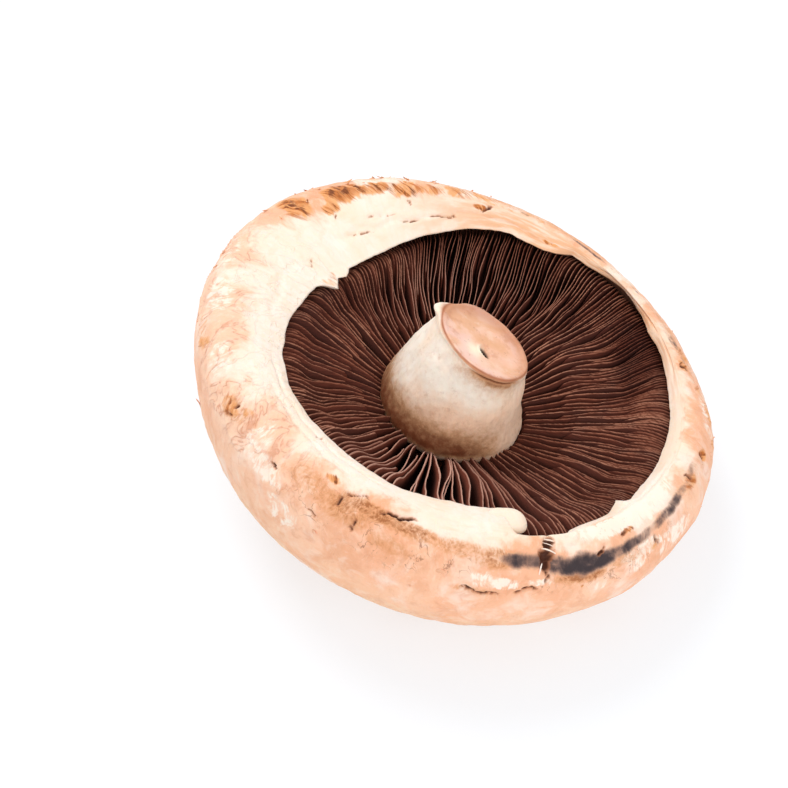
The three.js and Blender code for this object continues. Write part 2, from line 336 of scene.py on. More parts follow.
def hollow(azimuth, path, lip):
    """From the inner edge, 3, round under it, down the wall, 5 to 6, and in to the socket."""
    height = LIP_HEIGHT + steep_rise(azimuth)
    wall = hollow_radius(azimuth)
    inner = inner_radius(azimuth)
    curl, under, down, inward = (np.clip(path - start, 0, 1) for start in (3, 4, 5, 6))
    edge = np.minimum(lip + EDGE_CURL * curl, wall)
    radius = edge + (wall - edge) * under
    radius = np.where(path > 6, wall + (inner - wall) * inward, radius)
    top = height - EDGE_CURL * curl ** 1.3 - (LIP_THICKNESS - EDGE_CURL) * under
    floor = floor_height(azimuth, radius)
    level = np.where(path > 6, floor, top + (floor - top) * down)
    return polar(azimuth, radius, level)


def socket(azimuth, path):
    room = np.where(path < 8.9, SOCKET_RADIUS, 0)
    depth = SOCKET_DEPTH * np.clip((path - 8) * 2, 0, 1)
    return polar(azimuth, room, FLOOR_INNER - depth) + [*STEM_CENTRE, 0]


# %% The whole path
def cap_points(azimuth, path):
    """Every stretch of the path takes over from the one before it."""
    lip = lip_radius(azimuth)
    points = crown(azimuth, path)
    for start, part in ((1, rim(azimuth, path)), (2, slope(azimuth, path, lip)),
                        (3, hollow(azimuth, path, lip)), (7.5, socket(azimuth, path))):
        points = np.where((path > start)[:, None], part, points)
    return points


# %% [markdown]
# ## Marks on the skin
# The skin has its own history: rusty scales along the far crest, a smudge where it was
# bruised, small cracks, bare cream patches. Each mark is a soft-edged patch given by its
# middle and half size, in degrees round the cap and in steps of the path. The patches are
# drawn into per-vertex marks, and the material breaks their edges up with fibres.

# %% Patches by their place on the skin
RUST = [
    # azimuth, path, half width, half height, strength
    (97, 2.03, 5, 0.16, 0.55), (104, 2.06, 5, 0.22, 0.8), (112, 2.0, 6, 0.14, 0.75),
    (121, 1.98, 7, 0.2, 1.0), (127, 2.18, 3, 0.1, 0.7), (135, 1.86, 4, 0.3, 0.95),
    (84, 2.3, 2.2, 0.1, 0.9), (90, 2.05, 6, 0.1, 0.4), (78, 2.02, 6, 0.06, 0.25),
    (-155, 1.38, 3.5, 0.14, 0.6), (-178, 1.3, 5, 0.2, 0.35), (-30, 1.65, 3, 0.1, 0.5),
    (-20, 1.6, 2.2, 0.07, 0.8), (-47, 1.4, 2, 0.12, 0.35), (-53, 1.76, 2.5, 0.05, 0.6),
    (8, 1.86, 2, 0.09, 0.8), (165, 1.8, 8, 0.3, 0.12), (147, 2.92, 4, 0.08, 0.35),
    (88, 1.9, 8, 0.15, 0.5), (70, 1.9, 6, 0.1, 0.3), (-5, 1.5, 4, 0.12, 0.35),
    (-14, 1.35, 4, 0.1, 0.3), (2, 1.66, 3, 0.08, 0.4), (62, 2.62, 2.5, 0.08, 0.8),
    (12, 1.7, 3, 0.1, 0.5), (-123, 1.84, 2.2, 0.07, 0.8), (-148, 1.55, 3, 0.1, 0.35),
]
TANNED = [
    (-112, 1.74, 8, 0.13, 1.0), (-103, 1.72, 8, 0.13, 0.8), (-92, 1.68, 7, 0.14, 0.65),
    (-84, 1.62, 7, 0.17, 0.75), (-118, 1.55, 8, 0.2, 0.7), (-127, 1.6, 6, 0.2, 0.55),
    (-106, 1.4, 6, 0.14, 0.5), (-138, 1.4, 5, 0.2, 0.2), (-66, 1.33, 6, 0.12, 1.2),
    (-55, 1.38, 6, 0.1, 0.5), (-88, 1.12, 5, 0.06, 0.5), (-153, 1.4, 5, 0.2, 0.4),
    (-30, 1.68, 10, 0.12, 0.4), (70, 1.7, 30, 0.25, 0.5), (15, 1.75, 14, 0.12, 0.45),
]
# Painted shade: a thin grey along the outer edge of the far rim.
FAR_RIM_SHADE = [
    (14, 1.78, 6, 0.06, 0.5), (21, 1.86, 6, 0.05, 0.5), (52, 1.86, 9, 0.04, 0.6),
    (35, 1.78, 8, 0.05, 0.45), (72, 1.9, 5, 0.04, 0.4),
]
SMUDGE = np.array([
    # azimuth, path, half height, strength
    (-180, 1.64, 0.05, 0), (-84, 1.63, 0.06, 0), (-80, 1.63, 0.13, 1.0),
    (-75.5, 1.61, 0.14, 1.15), (-73, 1.56, 0.13, 0.9), (-70.5, 1.51, 0.17, 1.15),
    (-66, 1.49, 0.18, 1.1), (-61, 1.51, 0.13, 1.15), (-56, 1.53, 0.1, 0.95),
    (-50, 1.57, 0.085, 0.75), (-43, 1.62, 0.085, 0.75), (-36, 1.67, 0.09, 0.7),
    (-28, 1.72, 0.06, 0.4), (-19, 1.77, 0.05, 0), (180, 1.77, 0.05, 0),
])
CRACKLED = [
    (-112, 1.45, 18, 0.42, 1.0), (-128, 1.35, 10, 0.3, 0.8), (-98, 1.5, 12, 0.3, 0.6),
    (-55, 1.35, 20, 0.35, 0.5), (-155, 1.4, 10, 0.3, 0.5), (130, 1.7, 20, 0.3, 0.5),
    (-75, 1.2, 14, 0.15, 0.6), (20, 1.6, 40, 0.3, 0.35), (90, 1.4, 30, 0.4, 0.4),
]
BARE = [
    (-86.5, 1.31, 2.6, 0.14, 0.8), (-82, 1.27, 4, 0.09, 0.9), (-75, 1.3, 3, 0.06, 0.7),
    (-52, 1.3, 3, 0.22, 0.7), (-143, 1.45, 4, 0.4, 0.5), (-168, 1.5, 6, 0.3, 0.6),
    (172, 1.6, 8, 0.3, 0.6), (157, 1.5, 9, 0.3, 0.4), (-60, 1.1, 5, 0.12, 0.4),
    (-40, 1.22, 7, 0.24, 0.65), (-50, 1.38, 7, 0.13, 0.85), (-130, 1.0, 6, 0.1, 0.5),
    (-5, 1.5, 9, 0.25, 0.5), (-50, 1.96, 16, 0.24, 1.4), (-137, 1.26, 7, 0.2, 0.7),
]


def patch(azimuth, path, patches):
    turned = degrees_of(azimuth)
    mark = np.zeros_like(azimuth)
    for middle, along, half_width, half_height, strength in patches:
        side = (turned - middle + 180) % 360 - 180
        far = np.hypot(side / half_width, (path - along) / half_height)
        mark = np.maximum(mark, strength * (1 - smooth(far, 0.45, 1.35)))
    return mark


def smudge(azimuth, path):
    """The bruise at the front, one long streak that thins out to the right."""
    turned = degrees_of(azimuth)
    line, half_height, strength = (np.interp(turned, SMUDGE[:, 0], SMUDGE[:, n]) for n in (1, 2, 3))
    return strength * (1 - smooth(np.abs(path - line) / half_height, 0.3, 1.4))


# %% [markdown]
# Cracks are narrow grooves. Each is given by its middle, its length, its width and its
# direction, all in millimetres on the skin, so that a crack looks the same anywhere. Folds
# are wider and softer, and run along the rim from one azimuth to another.

# %% Cracks and folds
CRACKS = [
    # azimuth, path, length, width, direction in degrees from across the cap, depth
    (-73.1, 1.7, 3.2, 2.0, 84, 2.4), (-73.6, 1.58, 4.6, 1.1, 86, 2.2),
    (-72.2, 1.88, 3.4, 1.4, 64, 2.0),
    (-73.6, 1.36, 3.4, 0.45, 88, 0.8), (-89, 1.13, 3.5, 0.4, -12, 0.9),
    (-86, 1.1, 8.5, 0.4, -2, 1.1), (-77.5, 1.19, 5.5, 0.4, 9, 1.0),
    (-106, 1.85, 8.5, 0.5, 7, 1.1), (-116, 1.84, 6.0, 0.35, 16, 0.6),
    (-119, 1.62, 2.6, 0.4, 120, 0.7), (-123, 1.24, 2.8, 0.4, 150, 0.7),
    (-114, 1.42, 3.2, 0.45, 105, 0.8), (-136, 1.38, 2.4, 0.5, 150, 0.8),
    (-153, 1.46, 1.8, 0.5, 80, 0.8), (-153, 1.3, 2.2, 0.4, 20, 0.6),
    (-20, 1.62, 2.2, 0.9, 80, 1.3), (-29, 1.72, 2.4, 0.5, 95, 0.7),
    (-54, 1.75, 1.8, 0.6, 20, 0.8), (-61, 1.62, 3.2, 0.5, 25, 0.9),
    (-46, 1.4, 3.4, 0.5, 95, 0.7), (7, 1.84, 2.6, 0.6, 90, 0.9),
    (91, 2.64, 1.4, 0.5, 70, 0.6), (105, 2.68, 6.0, 0.3, 4, 0.6), (95, 2.66, 7.0, 0.3, 3, 0.6),
    (123, 2.66, 8.0, 0.3, -6, 0.5), (114, 2.5, 9.0, 0.25, -3, 0.35), (104, 2.34, 2.0, 0.4, 80, 0.7),
    (127, 2.32, 1.4, 0.4, 60, 0.6), (82, 2.28, 4.0, 0.7, 60, 0.7),
    (147, 2.6, 4.5, 0.28, 30, 0.35), (-135, 2.62, 3.5, 0.35, 80, 0.35),
]
FOLDS = [
    # azimuth from and to, path from and to, half width in path, depth in mm
    (-168, -112, 2.66, 2.6, 0.07, 0.45), (-158, -120, 2.3, 2.12, 0.1, 0.35),
    (96, 134, 2.66, 2.6, 0.05, 0.3), (100, 122, 2.44, 2.5, 0.05, 0.25),
    (62, 96, 2.7, 2.5, 0.06, 0.35), (20, 46, 2.3, 2.6, 0.12, 0.5), (4, 18, 2.5, 2.2, 0.1, 0.4),
    (-52, -30, 2.45, 2.35, 0.09, 0.35), (150, 176, 2.5, 2.62, 0.08, 0.3),
    (-98, -84, 2.25, 2.2, 0.09, 0.3),
]
print(len(CRACKS), "cracks and", len(FOLDS), "folds")


# %% How deep the skin lies in them
def folds(azimuth, path):
    """How deep each vertex lies in the soft folds that run along the rim."""
    turned = degrees_of(azimuth)
    depth = np.zeros_like(azimuth)
    for start, end, first, last, width, deep in FOLDS:
        share = np.clip((turned - start) / (end - start), 0, 1)
        line = first + (last - first) * share + 0.03 * np.sin(turned * 0.5)
        ends = smooth(turned, start - 3, start + 6) * (1 - smooth(turned, end - 6, end + 3))
        groove = ends * deep * bell(path, line, width)
        depth = np.maximum(depth, groove)
    return depth


ROUND_STEP = np.array([0, 0.01, 0])
PATH_STEP = np.array([0, 0, 0.03])


def skin_frame(turned, along, heading):
    """A place on the skin, with the directions along and beside a heading, and outward."""
    middle, beside, above = cap_points(radians(turned) + ROUND_STEP, along + PATH_STEP)
    across = unit(beside - middle)
    up = unit(above - middle)
    turn = radians(heading)
    run = across * cos(turn) + up * sin(turn)
    side = -across * sin(turn) + up * cos(turn)
    return middle, run, side, np.cross(across, up)


def cracks(azimuth, path, points):
    """How deep each vertex lies in a crack, in millimetres, and how dark it is there."""
    depth = np.zeros_like(azimuth)
    dark = np.zeros_like(azimuth)
    ragged = 1 + 0.45 * wander(points, 1.2, 18)
    for turned, along, length, width, heading, deep in CRACKS:
        middle, run, side, _ = skin_frame(turned, along, heading)
        away = points - middle
        near = np.abs(away).max(1) < length
        along_crack = away @ run
        wobble = 0.3 * np.sin(along_crack * 1.3 + turned) + 0.12 * np.sin(along_crack * 3.7)
        wobble = wobble * (0.3 if along > 2.4 else 1)
        off = np.abs(away @ side + wobble * (width < 1)) * ragged
        taper = 1 - smooth(np.abs(along_crack), length * 0.2, length * 0.55)
        groove = near * taper * (1 - smooth(off, width * 0.25, width))
        depth = np.maximum(depth, groove * deep)
        dark = np.maximum(dark, groove * min(1, deep))
    return depth, dark


# %% [markdown]
# ## The skin's relief
# Four kinds of relief make it a mushroom and not a bun: a slow unevenness, meridian fibres,
# peeling scales with crisp edges, and curly ridges where the skin wrinkled as it dried.
# Each comes from a smooth noise, for fibres and scales on a grain that is stretched along
# the meridians, and is turned into millimetres along the normal.

# %% Relief in millimetres along the normal
def relief(azimuth, path, points, grain):
    skin = 1 - smooth(path, 1.75, 2.2)
    inner = smooth(path, 1.9, 2.3) * (1 - smooth(path, 2.9, 3.1))
    seen = 1 - smooth(path, 3.0, 3.2)
    uneven = 0.5 * wander(points, 24, 3) + 0.28 * wander(points, 10, 4)
    pale = 0.24 * wander(points, 14, 5) + 0.16 * wander(points, 5.5, 6)
    fibres = wander(grain * [1, 1, 0.25], 1.6, 7)
    long_fibres = wander(grain * [1, 1, 0.12], 3.2, 8)
    scales = smooth(wander(grain * [1, 1, 0.6], 6.5, 9), -0.05, 0.08)
    fine_scales = smooth(wander(grain * [1, 1, 0.8], 2.6, 10), 0.05, 0.22)
    curls = 1 - smooth(np.abs(wander(points, 9, 11) + 0.2 * wander(points, 3, 17)), 0.0, 0.11)
    left = smooth(np.cos(azimuth - radians(-172)), 0.5, 0.9) * smooth(path, 0.9, 1.15)
    rusty = patch(azimuth, path, RUST)
    rough = 0.3 + 0.9 * rusty + 0.3 * left
    flaky = 0.6 * rusty * wander(grain * [1, 1, 0.5], 1.5, 19)
    height = skin * (uneven + rough * (0.3 * scales + 0.18 * fine_scales) + 0.07 * fibres)
    height = height + skin * left * 0.3 * curls + 0.08 * long_fibres * skin + flaky
    height = height + inner * (pale + 0.02 * fibres + 0.04 * long_fibres)
    depth, dark = cracks(azimuth, path, points)
    height = seen * (height - folds(azimuth, path)) - depth
    return height, dark, scales * skin, left


# %% Make the cap
PATH_LENGTHS = [0, 68, 82, 92, 95]  # millimetres along the skin at path 0 to 4
SLANT = 0.9


def make_cap(material):
    shape = rolled(len(PATH), CAP_COLUMNS)
    azimuth, station = stations_of(shape)
    path = PATH[station]
    points = cap_points(azimuth, path)
    lay(shape, points)
    run = np.interp(path, range(len(PATH_LENGTHS)), PATH_LENGTHS)
    girth = np.full_like(azimuth, CAP_RADIUS)
    grain = polar(azimuth, girth, run)
    height, dark, scales, left = relief(azimuth, path, points, grain)
    points = points + normals_of(shape) * height[:, None]
    lay(shape, to_lie(points))
    marks = {
        "path": path, "grain": grain, "dark": dark, "scales": scales, "left": left,
        "slant": polar(azimuth + SLANT * run / CAP_RADIUS, girth, run),
        "steep": smooth(steep_rise(azimuth), 0.1, 1.4) * smooth(path, 1.8, 2.2),
        "rust": patch(azimuth, path, RUST),
        "tanned": patch(azimuth, path, TANNED),
        "smudge_and_rim_shade": np.maximum(patch(azimuth, path, FAR_RIM_SHADE), smudge(azimuth, path)),
        "bare": patch(azimuth, path, BARE),
        "crackled": patch(azimuth, path, CRACKLED),
    }
    add_piece("cap_skin", shape, material, "cap", marks)


# %% [markdown]
# Where the flap of veil tore off it ends in a rounded lobe that hangs over the gills, and a
# few strands of flesh still bridge the rip beside it. Small curled flakes of skin stand off
# the outside. The lobe is a flattened ball, and a strand or a flake is a thin rolled skin
# laid along a bent line. All of them are part of the cap.

# %% Marks of a small piece, the same all over
def plain_marks(points, path, rust=0.0):
    flat = np.zeros(len(points))
    names = ("dark", "scales", "left", "steep", "tanned", "smudge_and_rim_shade", "bare", "crackled")
    marks = {name: flat for name in names}
    return marks | {"path": flat + path, "rust": flat + rust, "grain": points, "slant": points}


# %% The lobe at the end of the flap
LOBE_MIDDLE = np.array([8.9, -44.3, 6.3])
LOBE_HALF = np.array([4.1, 3.1, 1.2])


def make_lobe(material):
    shape = bmesh.new()
    bmesh.ops.create_icosphere(shape, subdivisions=5, radius=1)
    ball = np.array([vert.co[:] for vert in shape.verts])
    blunt = np.sign(ball) * np.abs(ball) ** 0.8
    points = blunt * LOBE_HALF * (1 + 0.08 * wander(ball, 0.9, 31))[:, None]
    points[:, 2] += 0.12 * wander(points, 2.0, 32) - 0.03 * points[:, 0] ** 2 * (points[:, 0] > 0)
    points = points + LOBE_MIDDLE
    lay(shape, to_lie(points))
    add_piece("veil_lobe", shape, material, None, plain_marks(points, 2.9))


# %% Strands across the rip
STRIP_STATIONS = 11
STRIP_COLUMNS = 10


def bent_strip(start, end, bow, width, thickness, bluntness=0.5):
    """A thin strip, flat across and bowed to one side along its length."""
    shape = rolled(STRIP_STATIONS, STRIP_COLUMNS)
    azimuth, station = stations_of(shape)
    share = (station / (STRIP_STATIONS - 1))[:, None]
    start, end, bow = (np.array(value, float) for value in (start, end, bow))
    run = unit(end - start)
    rise = unit(bow - run * (bow @ run))
    across = np.cross(run, rise)
    swell = np.sin(pi * share) ** bluntness
    middle = start + (end - start) * share + bow * np.sin(pi * share)
    girth = across * np.cos(azimuth)[:, None] * width + rise * np.sin(azimuth)[:, None] * thickness
    return shape, middle + girth * 0.5 * swell


STRANDS = [
    # start, end, bow, width, thickness
    ((14.6, -49.9, 8.3), (19.3, -50.3, 8.2), (0, 0, 0.35), 0.4, 0.3),
    ((14.5, -52.2, 8.2), (18.8, -53.1, 7.7), (0, 0, 0.5), 0.36, 0.26),
    ((14.8, -50.7, 8.3), (18.9, -51.9, 8.0), (0, 0, 0.4), 0.2, 0.18),
    ((15.3, -55.2, 7.3), (15.1, -57.0, 5.2), (-0.1, -0.3, 0.3), 0.3, 0.2),
]


def make_strands(material):
    for number, strand in enumerate(STRANDS):
        shape, points = bent_strip(*strand, bluntness=0.2)
        lay(shape, to_lie(points))
        add_piece(f"strand_{number + 1}", shape, material, None, plain_marks(points, 2.4))


# %% Flakes that stand off the skin
FLAKE_WIDTH = 0.3  # as a share of its length
FLAKE_THICKNESS = 0.22
FLAKES = [
    # azimuth, path, length, stands off, heading in degrees, rust
    (-122, 1.0, 4.2, 0.8, 8, 0.2), (139, 1.5, 3.0, 0.7, 10, 0.4), (108, 1.62, 3.0, 0.6, 8, 0.5),
    (117, 1.7, 2.4, 0.6, 172, 0.5), (-8, 1.15, 2.4, 0.8, 100, 0.4), (-22, 1.2, 1.8, 0.6, 40, 0.2),
    (160, 1.3, 2.6, 0.5, 4, 0.2), (95, 1.75, 2.6, 0.5, 0, 0.4), (-100, 0.98, 2.0, 0.4, 5, 0.2),
    (-95, 1.3, 3.0, 0.4, 4, 0.1), (-66, 1.12, 2.4, 0.4, 70, 0.5), (30, 1.1, 2.6, 0.7, 30, 0.4),
    (60, 1.2, 2.4, 0.7, 140, 0.3), (128, 0.9, 3.0, 0.8, 80, 0.3), (-170, 0.85, 3.2, 0.7, 100, 0.2),
]
RAGGED_STRETCHES = [
    # azimuth from and to, path from and to, how many, longest, rust
    (92, 142, 1.45, 1.95, 22, 2.4, 0.75), (-34, 28, 0.95, 1.6, 14, 2.0, 0.35),
    (148, 200, 1.0, 1.5, 9, 2.2, 0.15), (30, 88, 1.1, 1.7, 12, 2.0, 0.4),
]


def scattered_flakes():
    """Small flakes strewn over the ragged stretches of the skin, the same ones every time."""
    toss = np.random.default_rng(11)
    for first, last, low, high, count, longest, rust in RAGGED_STRETCHES:
        for _ in range(count):
            length = longest * toss.uniform(0.4, 1.0)
            yield (toss.uniform(first, last), toss.uniform(low, high), length,
                   0.22 * length, toss.uniform(20, 160), rust * toss.uniform(0.4, 1.2))


def flake_points(turned, along, length, lift, heading):
    """A curled flake that lies along the skin with its free end lifted."""
    middle, run, _, out = skin_frame(turned, along, heading)
    start = middle - run * length / 2 - out * 0.1
    end = middle + run * length / 2 + out * lift
    return bent_strip(start, end, -out * lift * 0.4, length * FLAKE_WIDTH, FLAKE_THICKNESS)


def make_flakes(material):
    """All flakes as one piece, each a small closed skin of its own."""
    whole = bmesh.new()
    places, rusts = [], []
    for *place, rust in FLAKES + list(scattered_flakes()):
        shape, points = flake_points(*place)
        lay(shape, to_lie(points))
        single = bpy.data.meshes.new("flake")
        shape.to_mesh(single)
        shape.free()
        whole.from_mesh(single)
        bpy.data.meshes.remove(single)
        places.append(points)
        rusts.append(np.full(len(points), rust))
    marks = plain_marks(np.concatenate(places), 1.4, np.concatenate(rusts))
    add_piece("skin_flakes", whole, material, None, marks)


# %% [markdown]
# ## The gills
# Gills are thin blades that stand edge-on round the stem. Some run the whole way, and
# shorter ones begin further out to fill the widening gaps. They are one ring-shaped skin
# here, with five columns to a gill: the gap, one side, both corners of the edge and the
# other side. A formula lifts the edge where the gill has begun. The edges also sway and lean
# together, because neighbouring gills touch and push each other. In front of the stem they
# have shrunk apart and gather in clumps with gaps between them, and the short ones there
# begin only under the flap.

# %% Sizes of the gills
GILLS = 340
PER_GILL = 5
GILL_STATIONS = 46
UNDER_STATIONS = 4
EDGE_THICKNESS = 0.12
MIDDLE_THICKNESS = 0.3
PLATE = 1.0
GAP = 0.3
ROOTED = 0.9
LOOSE_THICKNESS = 0.14
STREAK_LENGTH = 3.5
STREAK_HEIGHT = 0.35

# %% Where each gill begins, as a share of the way out
dice = np.random.default_rng(5)
begins = np.empty(GILLS)
begins[0::4] = dice.uniform(-0.05, -0.02, GILLS // 4)
begins[2::4] = dice.uniform(0.12, 0.3, GILLS // 4)
begins[1::2] = dice.uniform(0.34, 0.62, GILLS // 2)
middles = (np.arange(GILLS) + 0.5) * TURN / GILLS
left_side = smooth(-np.cos(middles - radians(20)), 0.1, 0.7)
apart = bell(degrees_of(middles), -96, 24)
begins[1::2] += 0.2 * left_side[1::2]
begins[1::2] += (0.95 - begins[1::2]) * np.clip(1.4 * apart[1::2], 0, 1)
begins[2::8] -= 0.8 * apart[2::8] * (begins[2::8] + 0.03)
begins[6::8] += 0.7 * np.clip(1.4 * apart[6::8], 0, 1)
print(f"{GILLS} gills, of which {(begins < 0).sum()} run the whole way")

# %% What tells one gill from the next
jitter = dice.uniform(-0.16, 0.16, GILLS)
lowered = dice.uniform(0, 1, GILLS) ** 2
gill_tint = dice.uniform(0, 1, GILLS)
clump_ends = np.cumsum(dice.integers(7, 18, GILLS // 6))
clump = np.searchsorted(clump_ends, np.arange(GILLS), side="right")
clump_middles = 0.5 * (np.append(0, clump_ends)[clump] + clump_ends[clump])
gather = (clump_middles - np.arange(GILLS) - 0.5) * TURN / GILLS
print(clump.max() + 1, "clumps")


# %% How gills sway and lean
def crowded(turn):
    """Gills stand closer together on the front right than on the back left."""
    return turn - 0.15 * np.sin(turn + radians(20))


def gill_sway(azimuth, share):
    """Sideways turn of a gill's whole line, in radians."""
    swing = 0.04 * np.sin(3 * azimuth + 4.2 * share)
    swing = swing + 0.02 * np.sin(7 * azimuth - 6.5 * share + 1)
    return swing * share * (1.4 - share)


def looseness(azimuth):
    """1 where the gills have shrunk apart, in front of the stem, and 0 elsewhere."""
    return bell(degrees_of(azimuth), -100, 27)


# Patches of painted shade on the gills, under the rim's overhang and in the hollow at the right.
PAINTED_GILL_SHADES = [
    # azimuth, half width, strength, share of the way out from and to
    (24, 20, 1.0, 0.5, 0.85), (148, 24, 0.5, 0.4, 0.8), (85, 26, 0.9, 0.78, 0.98),
]


def dusk(azimuth, share):
    """Painted shade on the gills, 1 where it is darkest: under the rim, and in one small hollow at
    the right.
    """
    turned = degrees_of(azimuth)
    dark = 0.8 * bell(turned, 44, 5) * bell(share, 0.72, 0.13)
    for middle, width, strength, low, high in PAINTED_GILL_SHADES:
        dark = np.maximum(dark, strength * bell(turned, middle, width) * smooth(share, low, high))
    return dark


def gill_place(azimuth, radius, slack):
    """A place that differs from gill to gill and changes slowly along each."""
    return polar(azimuth, 40 + 0 * radius, radius * slack)


def gill_lean(azimuth, radius):
    """Sideways shift of a gill's edge over its foot, in millimetres."""
    spots = polar(azimuth, radius, 0 * azimuth)
    bunches = gill_place(azimuth, radius, 0.1)
    clumps = gill_place(azimuth, radius, 0.26)
    loose = looseness(azimuth)
    far = 0.9 * bell(degrees_of(azimuth), 75, 30)
    tangle = 0.7 * wander(clumps, 3.3, 13) + 0.7 * wander(clumps, 2.0, 14)
    bunched = 1.2 * wander(bunches, 5.0, 28) + 1.5 * wander(bunches, 2.4, 29)
    lean = far + wander(spots, 14, 12) + tangle * (1 - 0.7 * loose) + bunched * loose
    return lean + 0.08 * wander(spots, 1.6, 20)


# %% Which gill a column belongs to, and how high the gill's edge stands
def gill_of(azimuth):
    """The gill's number, and 0 for the gap beside it or 1 to 4 for its own columns."""
    column = np.rint((azimuth % TURN) / (TURN / GILLS / PER_GILL)).astype(int)
    return divmod(column % (GILLS * PER_GILL), PER_GILL)


def edge_height(line, radius, share, gill):
    """The edges stand in uneven tiers, and end level under the rim's edge."""
    spots = polar(line, radius, 0 * line)
    edge = EDGE_INNER + EDGE_RISE * np.minimum(share, 1.1) ** 0.85
    edge = edge + 0.5 * wander(spots, 13, 15) + 0.18 * wander(spots, 2.2, 16)
    edge = edge - 0.9 * lowered[gill] + 0.45 * wander(gill_place(line, radius, 0.25), 1.6, 27)
    edge = edge - (0.1 + 0.8 * looseness(line)) * bell(share, 0, 0.09)
    under_rim = LIP_HEIGHT + steep_rise(line) - 1.6 - 0.9 * smooth(share, 1.0, 1.1)
    return edge + (under_rim - edge) * smooth(share, 0.7, 1.0)


# %% A point of the gills' skin
def gill_points(azimuth, station):
    pitch = TURN / GILLS
    gill, part = gill_of(azimuth)
    middle = (gill + 0.5 + jitter[gill]) * pitch
    gap = gill * pitch + 0.5 * (jitter[gill] + jitter[gill - 1]) * pitch
    line = crowded(np.where(part == 0, gap, middle))

    top = station < GILL_STATIONS
    along = np.clip(station / (GILL_STATIONS - 1), 0, 1)
    back = (station - GILL_STATIONS) / (UNDER_STATIONS - 1)
    inner = inner_radius(line) - ROOTED
    wall = hollow_radius(line) - GAP
    radius = np.where(top, wall + (inner - wall) * along, inner + (wall - inner) * back)
    share = share_out(line, radius)

    loose = looseness(line)
    underside = floor_height(line, radius) + GAP
    plate = underside + PLATE
    ramp = 0.05 + 0.45 * np.maximum(begins[gill], 0)
    begun = smooth(share, begins[gill], begins[gill] + ramp) ** 0.7
    tall = (edge_height(line, radius, share, gill) - plate) * begun * (1 - smooth(along, 0.985, 1.0))
    level = np.choose(part, [0.25 * loose, 0.45, 1.0, 1.0, 0.45])
    side = np.choose(part, [0, -0.5, -0.5, 0.5, 0.5])
    thick = np.choose(part, [0, MIDDLE_THICKNESS, EDGE_THICKNESS, EDGE_THICKNESS, MIDDLE_THICKNESS])
    thick = thick + LOOSE_THICKNESS * loose * smooth(level, 0, 0.4)
    shift = side * thick * (0.25 + 0.75 * smooth(begun, 0, 0.6))
    lean = gill_lean(line, radius) * level ** 1.3 * begun * smooth(share, -0.05, 0.4)
    gathered = 0.55 * gather[gill] * loose * bell(share, 0, 0.4)
    turned = line + gill_sway(line, share) + gathered + (shift + lean) / radius
    height = np.where(top, plate + tall * level, underside)
    # Painted light: the gills at the back of the hollow get the same paler edges and sides as the
    # loose ones in front.
    painted_light_at_back = 0.45 * bell(degrees_of(line), 92, 30) * (1 - smooth(share, 0.7, 0.95))
    marks = {
        "edge": np.where(top, level * begun, 0),
        "loose": np.maximum(loose, painted_light_at_back),
        "tint": gill_tint[gill],
        "laid": np.stack([radius / STREAK_LENGTH, height / STREAK_HEIGHT, 7.0 * gill], -1),
        "dusky": dusk(line, share),
    }
    return polar(np.where(top, turned, line), radius, height), marks


# %% Make the gills
def make_gills(material):
    shape = rolled(GILL_STATIONS + UNDER_STATIONS, GILLS * PER_GILL, ring=True)
    azimuth, station = stations_of(shape)
    points, marks = gill_points(azimuth, station)
    lay(shape, to_lie(points))
    add_piece("gill_fan", shape, material, "gills", marks)


# %% [markdown]
# ## The stem
# The stem swells to a bulb just over the gills, narrows to a waist and ends in a cut face
# that tilts to the right. Its line runs from the root in the socket up the side, over the
# skin's thin lip and in to the middle of the cut, and counts its rings. A crease under the
# lip, a nub of torn skin at the back and a small slit in the cut are added afterwards.

# %% Rings of the stem: height, radius, tilt in degrees
STEM_RINGS = np.array([
    (-16.4, 0, 0), (-16.3, 11.4, 0), (-15.8, 12.4, 0), (-12.6, 12.7, 0), (-9.6, 14.9, 0),
    (-7.6, 16.2, 0), (-5.0, 16.6, 1), (-2.0, 16.2, 2), (2.0, 15.4, 5), (6.0, 14.2, 9),
    (9.8, 12.9, 14), (12.2, 12.2, 17), (13.5, 11.9, 19), (14.4, 11.8, 20), (15.0, 11.3, 20),
    (15.1, 10.6, 20), (14.8, 9.6, 20), (14.55, 6.0, 20), (14.5, 3.0, 20), (14.5, 0, 20),
])
STEM_COLUMNS = 220
STEM_STATIONS = 150
CUT_TOWARD = np.array([cos(radians(13)), sin(radians(13)), 0])
STEM_SHIFT = np.array([2.2, -1.8, 0])
CREASE_DEPTH = 0.5
NUB_HEIGHT = 2.1
SLIT_DEPTH = 1.5
SLIT_MIDDLE = (3.3, -5.4)
SLIT_TURN = radians(25)


def through(rings, line):
    """A smooth curve through the rings, by cubic pieces. The line counts rings from the root."""
    last = len(rings) - 1
    low = np.clip(line.astype(int), 0, last - 1)
    part = (line - low)[:, None]
    before, start, end, after = (rings[np.clip(low + step, 0, last)] for step in (-1, 0, 1, 2))
    lead = (end - before) * 0.5
    leave = (after - start) * 0.5
    square, cube = part ** 2, part ** 3
    return ((2 * cube - 3 * square + 1) * start + (cube - 2 * square + part) * lead
            + (3 * square - 2 * cube) * end + (cube - square) * leave)


